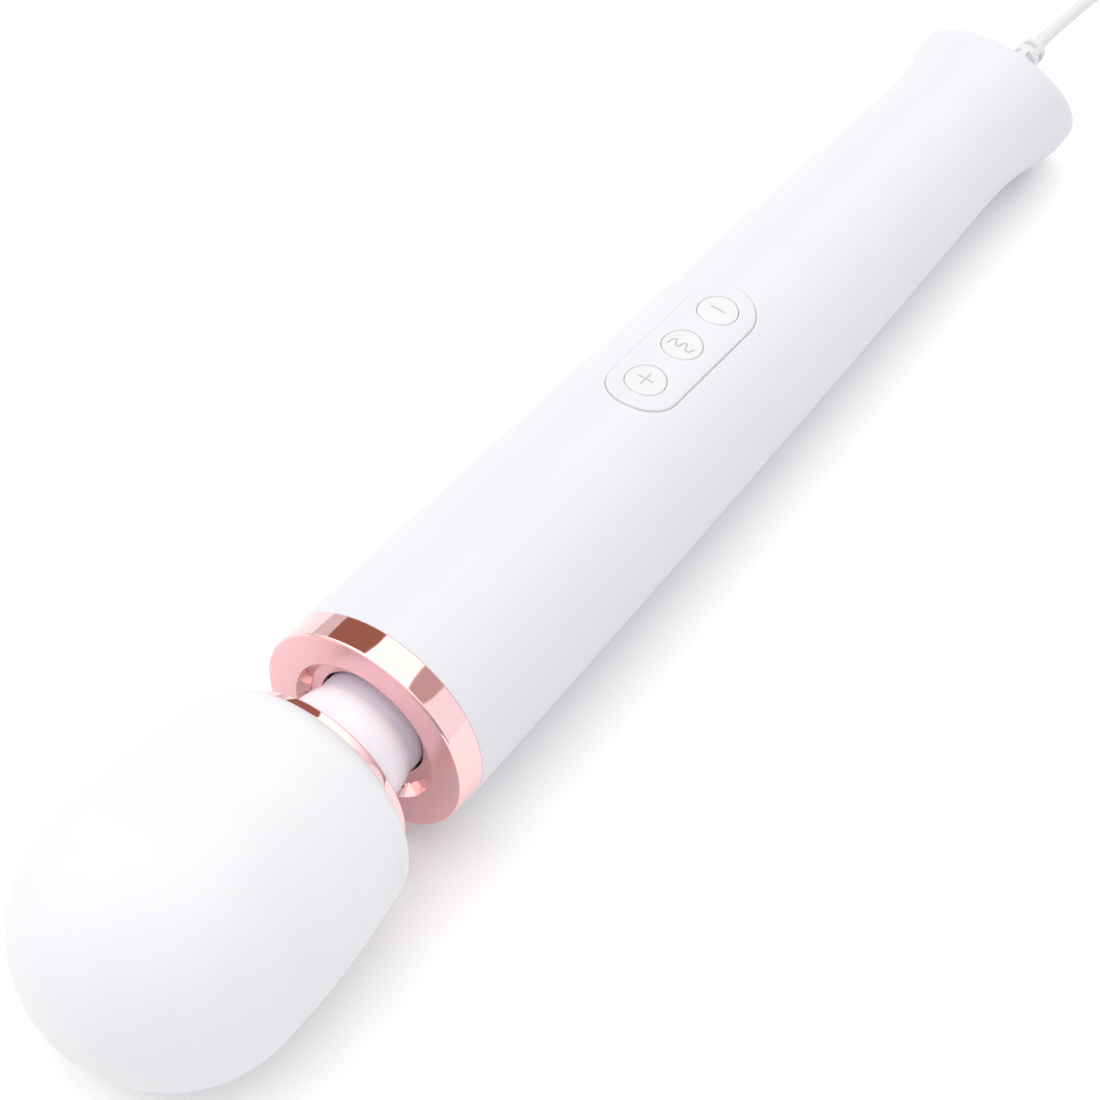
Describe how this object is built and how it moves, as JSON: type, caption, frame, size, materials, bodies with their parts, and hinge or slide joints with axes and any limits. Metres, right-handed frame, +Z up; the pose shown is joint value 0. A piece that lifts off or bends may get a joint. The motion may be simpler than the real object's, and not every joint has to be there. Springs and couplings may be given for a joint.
{
  "type": "handheld wand massager",
  "caption": "Corded wand massager with a round silicone head on a flexible neck, a metal collar, a smooth flared handle, a button panel, a coiled lead and a mains adaptor.",
  "frame": {"origin": "on the surface that the wand lies on, under the wand's axis and 175.4 mm behind the tip of the head", "axes": "+X along the wand from the tail to the head, +Z up through the buttons, +Y to the left of someone looking along +X"},
  "size_m": [0.5354, 0.0931, 0.0602],
  "materials": {
    "gloss_white": "glossy lacquered plastic",
    "button_white": "semi-gloss moulded plastic",
    "silicone_white": "velvety matte silicone",
    "rose_gold": "polished rose-gold plating",
    "lavender_plastic": "glossy moulded plastic",
    "inner_plastic": "plain moulded plastic",
    "black_plastic": "plain moulded plastic",
    "black_rubber": "moulded rubber",
    "cord_white": "satin soft vinyl",
    "adaptor_white": "fine spark-eroded plastic",
    "steel": "plain steel",
    "nickel_pins": "nickel-plated",
    "bronze": "sintered bronze",
    "copper": "enamelled copper on laminations",
    "magnet": "ferrite",
    "board_green": "solder-masked laminate",
    "wire_insulation": "stranded wire in vinyl",
    "capacitor_blue": "sleeved can"
  },
  "bodies": {
    "handle": {"handle_sleeve": "gloss_white", "tail_cap": "gloss_white", "tail_screws": "steel", "collar": "rose_gold", "collar_step_ring": "rose_gold", "collar_carrier": "inner_plastic", "neck_seat": "black_plastic", "core_anchor": "black_rubber", "chassis_tray": "inner_plastic", "chassis_cover": "inner_plastic", "button_panel": "gloss_white", "panel_gasket": "black_rubber", "circuit_board": "board_green", "board_screws": "steel", "tact_switches": "black_plastic", "control_chip": "black_plastic", "driver_chip": "black_plastic", "capacitors": "capacitor_blue", "lead_connector": "inner_plastic", "lead_wires": "wire_insulation", "motor_connector": "inner_plastic", "motor_wires": "wire_insulation", "strain_relief": "cord_white", "cord_lead": "cord_white", "cord_coil": "cord_white", "cord_tie": "cord_white", "cord_tail": "cord_white", "adaptor_base": "adaptor_white", "adaptor_cover": "adaptor_white", "adaptor_pins": "nickel_pins", "adaptor_relief": "cord_white"},
    "neck": {"neck_ring": "lavender_plastic", "flex_core": "black_rubber"},
    "head": {"neck_bulge": "gloss_white", "head_ring": "rose_gold", "head_base": "black_plastic", "head_core": "black_plastic", "head_cap": "silicone_white", "head_screws": "steel", "motor_cradle": "black_rubber", "motor_can": "steel", "motor_magnets": "magnet", "motor_end_plate": "inner_plastic", "motor_bearings": "bronze"},
    "rotor": {"motor_shaft": "steel", "armature": "copper", "commutator": "copper", "eccentric_weight": "steel"},
    "button_minus": {"button_minus": "button_white"},
    "button_wave": {"button_wave": "button_white"},
    "button_plus": {"button_plus": "button_white"}
  },
  "joints": [
    {"name": "neck_nod", "type": "hinge", "parent": "handle", "child": "neck", "pos_m": [0.0852, 0, 0.02848], "axis": [0, 1, 0], "range_deg": [-9, 9], "stiffness_Nm_per_rad": 6},
    {"name": "neck_sway", "type": "hinge", "parent": "neck", "child": "head", "pos_m": [0.0852, 0, 0.02848], "axis": [-0.0288, 0, 0.9996], "range_deg": [-9, 9], "stiffness_Nm_per_rad": 6},
    {"name": "motor_spin", "type": "hinge", "parent": "head", "child": "rotor", "pos_m": [0.13038, 0, 0.02978], "axis": [0.9996, 0, 0.0288], "continuous": true},
    {"name": "press_minus", "type": "slide", "parent": "handle", "child": "button_minus", "axis": [0.0288, 0, -0.9996], "range_m": [0, 0.0006], "stiffness_N_per_m": 2500, "springref_m": -0.0002},
    {"name": "press_wave", "type": "slide", "parent": "handle", "child": "button_wave", "axis": [0.0288, 0, -0.9996], "range_m": [0, 0.0006], "stiffness_N_per_m": 2500, "springref_m": -0.0002},
    {"name": "press_plus", "type": "slide", "parent": "handle", "child": "button_plus", "axis": [0.0288, 0, -0.9996], "range_m": [0, 0.0006], "stiffness_N_per_m": 2500, "springref_m": -0.0002}
  ]
}
